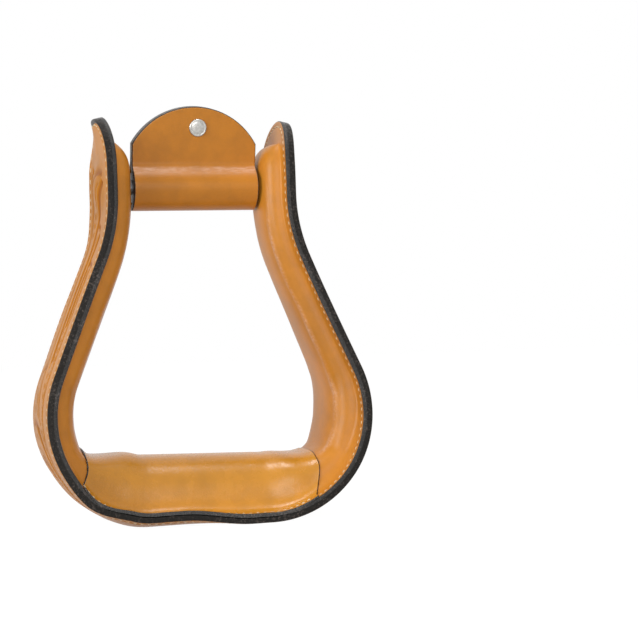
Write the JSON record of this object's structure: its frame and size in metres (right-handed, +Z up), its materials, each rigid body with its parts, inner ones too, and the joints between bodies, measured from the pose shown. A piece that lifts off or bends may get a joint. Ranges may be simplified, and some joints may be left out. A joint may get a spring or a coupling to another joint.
{
  "type": "leather-covered stirrup",
  "caption": "Western riding stirrup: bell-shaped bent wood bow in tooled leather, domed tread, and a leather-covered roller with a riveted flap across the neck.",
  "frame": {"origin": "on the ground, under the middle of the tread, halfway across and halfway from front to back", "axes": "+Z up from the tread to the neck, +X across the stirrup along the roller, -Y the front of the stirrup"},
  "size_m": [0.188, 0.0782, 0.2401],
  "materials": {
    "tooled_leather": "semi-gloss russet",
    "smooth_leather": "semi-gloss russet",
    "bent_wood": "unfinished",
    "plain_steel": "zinc plated",
    "nickel": "bright nickel",
    "seam_thread": "waxed thread"
  },
  "bodies": {
    "stirrup": {"outer_cover": "tooled_leather", "left_liner": "smooth_leather", "right_liner": "smooth_leather", "tread_cover": "smooth_leather", "bow_frame": "bent_wood", "tread_block": "bent_wood", "tread_screw_left": "plain_steel", "tread_screw_right": "plain_steel", "neck_bolt": "plain_steel", "neck_nut": "plain_steel", "head_washer": "plain_steel", "nut_washer": "plain_steel", "outer_seam_thread": "seam_thread", "left_liner_seam": "seam_thread", "right_liner_seam": "seam_thread", "tread_front_seam": "seam_thread", "tread_back_seam": "seam_thread"},
    "roller": {"roller_sleeve": "plain_steel", "roller_cover": "smooth_leather", "flap_rivet": "nickel"}
  },
  "joints": [
    {"name": "roller_turn", "type": "hinge", "parent": "stirrup", "child": "roller", "pos_m": [0, 0, 0.19339], "axis": [1, 0, 0], "continuous": true}
  ]
}
